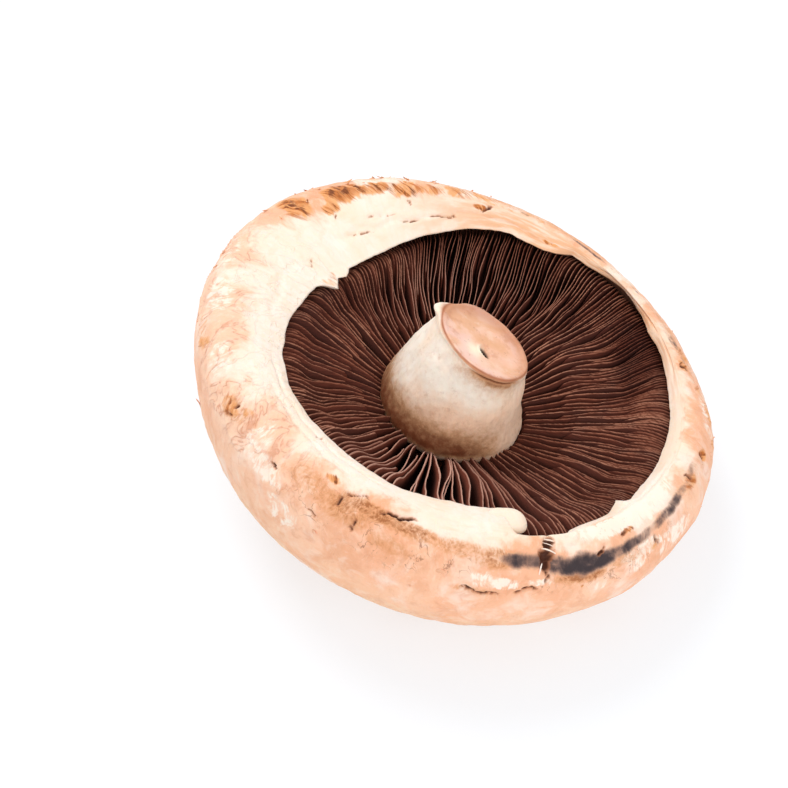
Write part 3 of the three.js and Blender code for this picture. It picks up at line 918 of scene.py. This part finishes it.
# %% A point of the stem
def stem_points(azimuth, line):
    height, radius, tilt = through(STEM_RINGS, line).T
    turned = degrees_of(azimuth)
    waist = 1 - 0.19 * bell(turned, -4, 52) * bell(height, 1.5, 7.5)
    slim = 0.13 * bell(turned, 55, 50) + 0.05 * bell(turned, 5, 30) + 0.07 * bell(turned, -45, 32)
    neck = 1 - slim * smooth(height, 4, 12)
    bulge = 1 + 0.04 * bell(turned, -44, 26) * bell(height, -7.5, 3.5)
    bulge = bulge + 0.02 * bell(turned, -110, 40) * bell(height, -4, 5)
    level = polar(azimuth, np.maximum(radius, 0) * waist * neck * bulge, height)
    tilt = np.radians(tilt)[:, None]
    along = np.clip((height + 6) / 21, 0, 1)[:, None]
    outward = (level @ CUT_TOWARD)[:, None]
    tilted = outward * (CUT_TOWARD * (np.cos(tilt) - 1) - np.sin(tilt) * [0, 0, 1])
    return level + tilted + [*STEM_CENTRE, 0] + STEM_SHIFT * along


def stem_relief(azimuth, line, points):
    """Fibres, dimples, the crease under the lip, the nub and the slit, in millimetres."""
    turned = degrees_of(azimuth)
    cut = smooth(line, 13.3, 13.9)
    side = (1 - cut) * smooth(line, 2, 4)
    fibre = polar(azimuth, 0 * azimuth + 14, points[:, 2] * 0.16)
    height = side * (0.3 * wander(points, 7, 21) + 0.12 * wander(fibre, 0.9, 22))
    height = height + side * 0.12 * wander(points, 1.6, 23)
    front = np.exp(-((turned + 80) / 29) ** 4) + 0.15 * bell(turned, -135, 24)
    crease = bell(line, 12.5, 0.42) * front
    height = height - CREASE_DEPTH * crease + 0.25 * bell(line, 13.6, 0.6) * front
    height = height + NUB_HEIGHT * bell(turned, 154, 12) * bell(line, 12.4, 1.0)
    height = height - 0.9 * bell(turned, 128, 7) * bell(line, 13.2, 0.9)
    height = height + cut * (0.16 * wander(points, 4.5, 24) + 0.05 * wander(points, 0.9, 25))
    away = points[:, :2] - SLIT_MIDDLE
    run = away @ [sin(SLIT_TURN), -cos(SLIT_TURN)]
    off = away @ [cos(SLIT_TURN), sin(SLIT_TURN)]
    slit = cut * (1 - smooth(np.hypot(run / 2.2, off / 1.2), 0.4, 1.0))
    return height - SLIT_DEPTH * slit, {"crease": crease, "slit": slit, "cut": cut}


# %% Where the stem is browned, pale and dried, with its painted shade and light
def stem_marks(azimuth, line, points, cut):
    turned = degrees_of(azimuth)
    x, y, z = points.T
    front = 0.3 + 0.7 * smooth(np.cos(azimuth + radians(118)), -0.7, 0.7)
    reach = np.where(z < -5, 2.2, 6.4)
    # Partly the stem's own browning and partly painted shade: dark brown where the root sinks into
    # the gills' hollow, and painted lighter on the lit front right.
    stain_and_shade = np.exp(-np.abs((z + 5.0) / reach) ** 2.2) * front
    lit = bell(turned, -36, 34)
    stain_and_shade = np.maximum(stain_and_shade, 1.3 * smooth(-z, 9.6, 11.2)) * (1 - 0.85 * lit)
    # Painted shade under the skin's lip at the front, mixed with its own brown.
    shade_under_lip = bell(line, 12.0, 1.3) * bell(turned, -78, 42)
    pit = np.exp(-((x - 2.1) / 1.1) ** 4 - ((y + 5.4) / 1.7) ** 2)
    halo = bell(np.hypot((x - 0.6) / 2.3, (y + 6.2) / 2.6), 0, 1)
    return {
        "stain_and_shade": np.maximum(stain_and_shade, 0.75 * shade_under_lip),
        # Painted shade: the stem's right side, away from the key light, is painted warmer and
        # darker.
        "side": smooth(np.cos(azimuth + radians(60)), -0.6, 0.9) * (1 - smooth(z, 2, 13)),
        "pale": np.maximum(pit, 0.7 * halo) * cut,
        "rim": bell(line, 13.7, 0.4),
        "skirt": smooth(line, 12.6, 13.3) * (0.35 + 0.65 * bell(turned, -90, 60)),
        "brink": smooth(np.hypot(x - 2.2, y + 4.6), 6.5, 12.5) * cut,
    }


# %% Make the stem
def make_stem(material):
    shape = rolled(STEM_STATIONS, STEM_COLUMNS)
    azimuth, station = stations_of(shape)
    line = station / (STEM_STATIONS - 1) * (len(STEM_RINGS) - 1)
    points = stem_points(azimuth, line)
    lay(shape, points)
    height, pressed = stem_relief(azimuth, line, points)
    points = points + normals_of(shape) * height[:, None]
    lay(shape, to_lie(points))
    marks = pressed | stem_marks(azimuth, line, points, pressed["cut"])
    add_piece("stem_skin", shape, material, "stem", marks)


# %% [markdown]
# ## Finishes
# Every colour is a procedural node tree. A few short helpers keep the trees readable: one
# adds a node and fills its sockets, one makes a noise, one blends two colours, and one
# lays several tints over a colour in turn.

# %% Node helpers
def linear(red, green, blue):
    """A colour from 0 to 255 as it looks on screen, made linear."""
    def channel(value):
        value = value / 255
        return value / 12.92 if value <= 0.04045 else ((value + 0.055) / 1.055) ** 2.4
    return (channel(red), channel(green), channel(blue), 1)


class Finish:
    """A material and short ways to add nodes to it."""

    def __init__(self, name):
        self.material = bpy.data.materials.new(name)
        self.material.use_nodes = True
        self.tree = self.material.node_tree
        self.shader = self.tree.nodes["Principled BSDF"]
        self.surface({"Metallic": 0})

    def surface(self, sockets):
        for key, value in sockets.items():
            self.put(self.shader.inputs[key], value)

    def add(self, kind, sockets=None, **settings):
        node = self.tree.nodes.new(kind)
        for key, value in settings.items():
            setattr(node, key, value)
        for key, value in (sockets or {}).items():
            self.put(node.inputs[key], value)
        return node

    def put(self, socket, value):
        if isinstance(value, bpy.types.NodeSocket):
            self.tree.links.new(value, socket)
        else:
            socket.default_value = value

    def mark(self, name, field="Fac"):
        return self.add("ShaderNodeAttribute", attribute_name=name).outputs[field]

    def stretched(self, vector, scale):
        node = self.add("ShaderNodeMapping", {"Vector": vector, "Scale": scale})
        return node.outputs["Vector"]

    def warped(self, vector, scale, amount):
        """The same place pushed about by a slow noise, so that streaks wander."""
        sockets = {"Vector": vector, "Scale": scale, "Detail": 2.0}
        push = self.add("ShaderNodeTexNoise", sockets).outputs["Color"]
        node = self.add("ShaderNodeVectorMath", operation="MULTIPLY_ADD")
        self.put(node.inputs[0], push)
        self.put(node.inputs[1], (amount, amount, amount))
        self.put(node.inputs[2], vector)
        return node.outputs["Vector"]

    def noise(self, vector, scale, detail=4.0, rough=0.55, distortion=0.0):
        sockets = {"Vector": vector, "Scale": scale, "Detail": detail,
                   "Roughness": rough, "Distortion": distortion}
        return self.add("ShaderNodeTexNoise", sockets).outputs["Fac"]

    def span(self, value, low, high, to_low=0.0, to_high=1.0):
        sockets = {"Value": value, "From Min": low, "From Max": high,
                   "To Min": to_low, "To Max": to_high}
        node = self.add("ShaderNodeMapRange", sockets, interpolation_type="SMOOTHSTEP", clamp=True)
        return node.outputs["Result"]

    def math(self, kind, first, second=0.0):
        node = self.add("ShaderNodeMath", operation=kind)
        self.put(node.inputs[0], first)
        self.put(node.inputs[1], second)
        return node.outputs["Value"]

    def times(self, first, second):
        return self.math("MULTIPLY", first, second)

    def plus(self, first, second):
        return self.math("ADD", first, second)

    def ridge(self, value):
        """How far a noise is from its middle, which is 0 along winding lines."""
        return self.math("ABSOLUTE", self.math("SUBTRACT", value, 0.5))

    def broken(self, mark, *noises):
        """A mark with noises added, but only where there is a mark at all."""
        value = mark
        for each in noises:
            value = self.plus(value, each)
        return self.times(value, self.span(mark, 0.01, 0.15))

    def blend(self, share, first, second, mode="MIX"):
        node = self.add("ShaderNodeMix", data_type="RGBA", blend_type=mode)
        self.put(node.inputs[0], share)
        self.put(node.inputs[6], first)
        self.put(node.inputs[7], second)
        return node.outputs[2]

    def tint(self, base, *steps):
        """The base turned toward each step's colour as the step's mark goes from low to high."""
        for mark, low, high, colour, *most in steps:
            base = self.blend(self.span(mark, low, high, 0.0, *most), base, linear(*colour))
        return base

    def bump(self, height, distance, strength=1.0, after=None):
        sockets = {"Height": height, "Distance": distance, "Strength": strength}
        if after is not None:
            sockets["Normal"] = after
        return self.add("ShaderNodeBump", sockets).outputs["Normal"]

    def soften(self):
        """Light sinks a little way into pale flesh."""
        self.surface({"Subsurface Weight": 0.12, "Subsurface Scale": 1.0,
                      "Subsurface Radius": (0.004, 0.002, 0.0012)})

    def finish(self, colour, normal, roughness, specular):
        self.surface({"Base Color": colour, "Normal": normal, "Roughness": roughness,
                      "Specular IOR Level": specular})
        return self.material


# %% [markdown]
# The cap's skin is peach tan with salmon and cream mottling, and the slope inside the crest
# is nearly white flesh. The path mark moves the colour from one to the other along a line
# that the noise frays. Bare patches, tan, rust, the smudge and the cracks are laid over it
# in turn, each broken up by a noise of its own.

# %% The cap's finish
def cap_finish():
    f = Finish("mushroom_cap_skin")
    grain = f.mark("grain", "Vector")
    spot = f.add("ShaderNodeTexCoord").outputs["Object"]
    path = f.mark("path")
    left = f.mark("left")
    drift = f.warped(grain, 0.1, 9.0)
    broad = f.noise(f.stretched(grain, (1, 1, 0.7)), 0.06, 3, 0.5)
    clouds = f.noise(f.stretched(drift, (1, 1, 0.8)), 0.1, 4, 0.55)
    mottle = f.noise(f.stretched(drift, (1, 1, 0.85)), 0.26, 6, 0.6)
    fibre = f.noise(f.stretched(drift, (1, 1, 0.2)), 0.9, 5, 0.6)
    fine = f.noise(f.stretched(drift, (1, 1, 0.75)), 1.7, 5, 0.64)
    soft = f.noise(grain, 0.5, 4, 0.55, 0.6)
    shag = f.noise(f.stretched(f.mark("slant", "Vector"), (1, 1, 0.2)), 0.75, 5, 0.62, 0.4)
    outside = f.span(path, 1.05, 0.45)

    skin = f.tint(linear(250, 199, 166), (broad, 0.4, 0.6, (245, 185, 149)))
    skin = f.blend(outside, skin, f.tint(linear(242, 184, 132), (clouds, 0.4, 0.6, (232, 160, 104))))
    skin = f.tint(
        skin,
        (clouds, 0.5, 0.66, (253, 228, 212), 0.65),
        (clouds, 0.48, 0.34, (230, 162, 120), 0.5),
        (mottle, 0.52, 0.68, (252, 222, 202), 0.4),
        (mottle, 0.47, 0.32, (226, 160, 122), 0.5),
        (fibre, 0.54, 0.7, (222, 156, 118), 0.16),
        (fine, 0.44, 0.3, (254, 226, 206), 0.25))
    skin = f.blend(f.times(left, 0.3), skin, linear(253, 230, 206))
    peeled = f.times(f.mark("scales"), f.span(soft, 0.35, 0.6, 0.1, 0.75))
    skin = f.blend(f.times(peeled, outside), skin, linear(252, 226, 198))
    contour = f.ridge(f.noise(grain, 0.125, 2, 0.55, 1.6))
    curl = f.times(left, f.span(soft, 0.36, 0.56, 0.2, 1.0))
    skin = f.blend(f.times(curl, f.span(contour, 0.085, 0.02, 0, 0.7)), skin, linear(240, 190, 162))
    curl = f.times(curl, f.span(contour, 0.03, 0.005))
    skin = f.blend(f.times(curl, 0.6), skin, linear(214, 148, 116))

    crackled = f.mark("crackled")
    browned = f.plus(crackled, f.span(soft, 0.34, 0.66, -0.45, 0.35))
    skin = f.tint(skin, (browned, 0.2, 1.3, (224, 158, 118), 0.5))
    veins = f.noise(f.warped(grain, 0.35, 2.4), 0.17, 3, 0.6, 0.8)
    veins = f.span(f.ridge(veins), 0.014, 0.003)
    veins = f.times(veins, f.span(crackled, 0.1, 0.7, 0, 0.65))
    veins = f.times(veins, f.span(left, 0, 0.8, 1, 0.4))
    skin = f.blend(f.times(veins, f.span(clouds, 0.38, 0.55)), skin, linear(140, 82, 52))

    streaks = f.noise(f.stretched(grain, (0.22, 0.22, 1)), 0.6, 3, 0.5)
    cream = f.tint(
        linear(251, 234, 220),
        (soft, 0.4, 0.62, (249, 229, 211)),
        (broad, 0.45, 0.66, (248, 222, 197), 0.75),
        (streaks, 0.55, 0.7, (240, 208, 176), 0.34))
    tan_side = f.times(f.mark("steep"), f.span(streaks, 0.35, 0.6, 0.4, 0.95))
    cream = f.blend(tan_side, cream, linear(232, 176, 134))

    frayed = f.plus(path, f.span(clouds, 0.3, 0.7, -0.3, 0.3))
    frayed = f.plus(frayed, f.span(soft, 0.3, 0.7, -0.12, 0.12))
    body = f.blend(f.span(frayed, 1.7, 2.2), skin, cream)
    torn = f.times(f.mark("bare"), f.span(fibre, 0.35, 0.62, 0.5, 1.35))
    torn = f.times(torn, f.span(soft, 0.35, 0.6, 0.6, 1.3))
    body = f.tint(body, (torn, 0.25, 0.85, (254, 238, 222), 0.9))

    tanned = f.times(f.mark("tanned"), f.span(soft, 0.34, 0.66, 0.7, 1.25))
    tanned = f.times(tanned, f.span(fine, 0.34, 0.66, 0.7, 1.25))
    body = f.tint(
        body,
        (tanned, 0.05, 0.8, (216, 150, 100), 0.8),
        (tanned, 0.55, 1.3, (160, 94, 48), 0.85))
    rust = f.mark("rust")
    rusty = f.broken(rust, f.span(mottle, 0.35, 0.65, -0.35, 0.35))
    body = f.tint(body, (rusty, 0.15, 0.75, (234, 162, 96), 0.85))
    rusty = f.broken(rust, f.span(shag, 0.3, 0.7, -0.6, 0.5))
    body = f.tint(body, (rusty, 0.25, 1.1, (188, 104, 38), 0.9))
    rusty = f.broken(rust, f.span(soft, 0.34, 0.66, -0.6, 0.25), f.span(shag, 0.4, 0.6, -0.4, 0.2))
    body = f.tint(body, (rusty, 0.6, 1.2, (104, 50, 22), 0.85))

    # The smudge is a real bruise; the same mark also carries the painted shade along the far rim's
    # outer edge.
    dusky = f.noise(grain, 0.22, 4, 0.6)
    patchy = f.span(mottle, 0.35, 0.65, -0.22, 0.18)
    smudge = f.broken(f.mark("smudge_and_rim_shade"), patchy, f.span(dusky, 0.35, 0.65, -0.2, 0.15))
    body = f.tint(
        body,
        (smudge, 0.05, 0.6, (214, 164, 132), 0.5),
        (smudge, 0.2, 0.9, (120, 94, 88), 0.85),
        (smudge, 0.5, 1.15, (50, 41, 46), 0.95))
    flecks = f.times(f.span(fine, 0.68, 0.76), f.span(path, 1.9, 2.1, 0.5, 0.03))
    body = f.blend(flecks, body, linear(140, 88, 58))
    gash = f.broken(f.mark("dark"), f.span(soft, 0.3, 0.7, -0.2, 0.2))
    body = f.tint(
        body,
        (gash, 0.05, 0.5, (186, 122, 84), 0.7),
        (gash, 0.3, 0.85, (80, 40, 24), 0.95),
        # Painted shade, partly the dark flesh under the gills: the lip's underside and the hollow's
        # wall and floor go dark brown.
        (path, 3.3, 4.2, (88, 54, 40)))

    rougher = f.span(path, 2.25, 1.75, 0.25, 1.0)
    fibre_bump = f.bump(f.times(fine, rougher), 0.0004, 0.5)
    swirl_bump = f.bump(curl, 0.0003, 0.5, fibre_bump)
    grainy = f.bump(f.noise(spot, 900, 4, 0.6), 0.00018, 0.5, swirl_bump)
    f.soften()
    return f.finish(body, grainy, f.span(mottle, 0.3, 0.7, 0.55, 0.72), 0.3)


# %% [markdown]
# Gills are dark with ripe spores. Their thin edges are painted paler, a painted highlight where
# light catches them, and their sides are painted darker toward the foot and near black at it,
# painted shade deep in the gaps. So the edge mark, which is 1 on the edge and 0 at the foot, carries
# most of the colour. A tint that differs from gill to gill keeps them from looking printed.

# %% The gills' finish
def gill_finish():
    f = Finish("mushroom_gills")
    spot = f.add("ShaderNodeTexCoord").outputs["Object"]
    mottle = f.noise(spot, 160, 4, 0.6)
    broad = f.noise(spot, 42, 3, 0.5, 0.5)
    streak = f.noise(f.mark("laid", "Vector"), 1.0, 4, 0.6)
    tint = f.mark("tint")
    edge = f.mark("edge")
    # Painted highlight: the thin edge of every gill is painted paler.
    highlit_edge_colour = f.blend(tint, linear(190, 132, 106), linear(150, 92, 70))
    highlit_edge_colour = f.tint(
        highlit_edge_colour,
        (broad, 0.42, 0.66, (130, 72, 52), 0.6),
        (mottle, 0.5, 0.34, (206, 152, 126), 0.35),
        (streak, 0.46, 0.6, (104, 52, 36), 0.75))
    # Painted light: where the gills stand apart in front, and at the back, edges are painted paler,
    # as if lit.
    highlit_edge_colour = f.blend(f.times(f.mark("loose"), 0.85), highlit_edge_colour, linear(212, 166, 148))
    side_colour = f.blend(tint, linear(76, 35, 25), linear(100, 48, 34))
    side_colour = f.tint(side_colour, (streak, 0.45, 0.62, (60, 26, 18), 0.6))
    # Painted light on the sides of the same gills.
    side_colour = f.blend(f.times(f.mark("loose"), 0.6), side_colour, linear(140, 72, 52))
    # Painted shade: the sides darken toward the foot of each gill.
    side_colour = f.tint(side_colour, (edge, 0.96, 0.6, (62, 29, 21)))
    worn = f.plus(edge, f.span(mottle, 0.3, 0.7, -0.02, 0.02))
    colour = f.blend(f.span(worn, 0.95, 1.0), side_colour, highlit_edge_colour)
    # Painted shade: near black at the foot, deep in the gaps between gills.
    colour = f.blend(f.span(edge, 0.0, 0.4, 0.85, 0.0), colour, linear(40, 19, 14))
    # Painted shade: the dusky mark multiplies the gills darker under the rim and in the hollow at
    # the right.
    dusky = f.times(f.mark("dusky"), f.span(broad, 0.3, 0.6, 0.55, 0.95))
    colour = f.blend(dusky, colour, f.blend(1.0, colour, linear(168, 138, 128), "MULTIPLY"))
    normal = f.bump(f.noise(spot, 1100, 3, 0.6), 0.0001, 0.5)
    return f.finish(colour, normal, f.span(mottle, 0.3, 0.7, 0.7, 0.85), 0.2)


# %% [markdown]
# The stem is cream, with a warmer painted shade on its right side, and grey brown with specks toward
# the gills, partly its own colour and partly painted shade where it sinks into the hollow.
# The cut face has dried to a pinkish tan, with a brown line at the skin's lip.

# %% The stem's finish
def stem_finish():
    f = Finish("mushroom_stem")
    spot = f.add("ShaderNodeTexCoord").outputs["Object"]
    mottle = f.noise(spot, 240, 5, 0.65)
    blotch = f.noise(spot, 70, 4, 0.55)
    speck = f.noise(spot, 620, 4, 0.7)
    side = f.tint(linear(255, 242, 228), (blotch, 0.4, 0.65, (255, 229, 205)))
    # Painted shade on the right side of the stem, from the side mark.
    shade = f.plus(f.mark("side"), f.span(mottle, 0.3, 0.7, -0.15, 0.15))
    side = f.tint(
        side,
        (shade, 0.0, 1.0, (255, 214, 184), 0.9),
        (blotch, 0.4, 0.7, (248, 196, 164), 0.25))
    # Own browning and painted shade: darker toward the gills, dark brown at the root.
    stain_and_shade = f.plus(f.mark("stain_and_shade"), f.span(mottle, 0.3, 0.7, -0.07, 0.07))
    stain_and_shade = f.plus(stain_and_shade, f.span(speck, 0.35, 0.65, -0.09, 0.09))
    side = f.tint(
        side,
        (stain_and_shade, -0.05, 0.75, (200, 150, 110)),
        (stain_and_shade, 0.45, 1.1, (116, 60, 32)),
        (speck, 0.58, 0.72, (180, 132, 98), 0.22))
    face = f.tint(linear(245, 208, 188), (blotch, 0.38, 0.62, (238, 186, 156)))
    wide = f.noise(spot, 110, 3, 0.5, 0.8)
    face = f.tint(
        face,
        (wide, 0.44, 0.62, (240, 198, 184), 0.8),
        (wide, 0.5, 0.32, (226, 168, 126), 0.75),
        (mottle, 0.5, 0.66, (204, 140, 106), 0.5),
        (mottle, 0.45, 0.3, (244, 206, 184), 0.5),
        (f.mark("brink"), 0.0, 1.0, (190, 126, 92), 0.65),
        (speck, 0.62, 0.72, (150, 92, 70), 0.5),
        (f.mark("pale"), 0.0, 0.9, (254, 238, 212)))
    # The crease is a real groove; its brown here and below is partly the skin's own colour and
    # partly painted shade in the fold.
    side = f.tint(side, (f.mark("crease"), 0.0, 0.5, (206, 148, 104), 0.8))
    colour = f.tint(side, (f.mark("skirt"), 0.2, 0.9, (216, 158, 120)))
    colour = f.blend(f.span(f.mark("cut"), 0.2, 0.8), colour, face)
    edge = f.times(f.mark("rim"), f.span(blotch, 0.35, 0.6, 0.5, 1.0))
    colour = f.blend(edge, colour, linear(170, 104, 70))
    colour = f.tint(
        colour,
        (f.mark("crease"), 0.2, 0.9, (118, 62, 32), 0.9),
        (f.mark("slit"), 0.25, 0.7, (50, 28, 16), 0.95))
    fibres = f.noise(f.stretched(spot, (1, 1, 0.25)), 420, 4, 0.6)
    normal = f.bump(f.noise(spot, 900, 3, 0.6), 0.00015, 0.5, f.bump(fibres, 0.0003, 0.5))
    f.soften()
    return f.finish(colour, normal, f.span(mottle, 0.3, 0.7, 0.55, 0.7), 0.3)


# %% Build all pieces
skin_finish = cap_finish()
make_cap(skin_finish)
make_gills(gill_finish())
make_stem(stem_finish())
make_lobe(skin_finish)
make_strands(skin_finish)
make_flakes(skin_finish)

# %% [markdown]
# ## The table and the light
# A seamless white table under broad soft light: a key light from the upper left, a weaker
# one from the front right, and a white room all round.

# %% The table
shape = bmesh.new()
bmesh.ops.create_grid(shape, x_segments=1, y_segments=1, size=3.0)
finish = Finish("white_table")
finish.surface({
    "Base Color": (0.36, 0.38, 0.4, 1),
    "Emission Color": (0.97, 0.98, 1, 1),
    "Emission Strength": 0.62,
    "Roughness": 0.9,
    "Specular IOR Level": 0.1,
})
add_object("table", mesh_of("table", shape, finish.material))


# %% The lights
AIM = Vector((0, 0, 0.02))


def add_light(name, place, size, power):
    light = bpy.data.lights.new(name, "AREA")
    light.shape = "DISK"
    light.size = size
    light.energy = power
    lamp = add_object(name, light)
    lamp.location = place
    lamp.rotation_euler = (AIM - Vector(place)).to_track_quat("-Z", "Y").to_euler()


add_light("key", (-0.32, 0.45, 0.8), 0.6, 4.3)
add_light("fill", (0.25, -0.7, 0.5), 0.8, 2.6)
world = bpy.data.worlds.new("white_room")
world.use_nodes = True
room = world.node_tree.nodes["Background"].inputs
room["Color"].default_value = (1, 1, 1, 1)
room["Strength"].default_value = 0.76
bpy.context.scene.world = world
bpy.context.scene.view_settings.view_transform = "Standard"

# %% [markdown]
# ## The camera
# A long lens from 45 degrees above the table, half a metre away, so that the rim's oval
# opens toward the viewer.

# %% The camera
ELEVATION = radians(45.3)
DISTANCE = 477.0
ASIDE = -12.925
ABOVE = -2.968
toward_camera = np.array([0, -cos(ELEVATION), sin(ELEVATION)])
screen_up = np.array([0, sin(ELEVATION), cos(ELEVATION)])
camera_data = bpy.data.cameras.new("camera")
camera_data.lens = 100
camera_data.sensor_width = 36
camera = add_object("camera", camera_data)
camera.location = (GIRTH_CENTRE + DISTANCE * toward_camera + [ASIDE, 0, 0] + ABOVE * screen_up) * MM
camera.rotation_euler = (pi / 2 - ELEVATION, 0, 0)
bpy.context.scene.camera = camera
print("camera at", [round(value, 4) for value in camera.location])
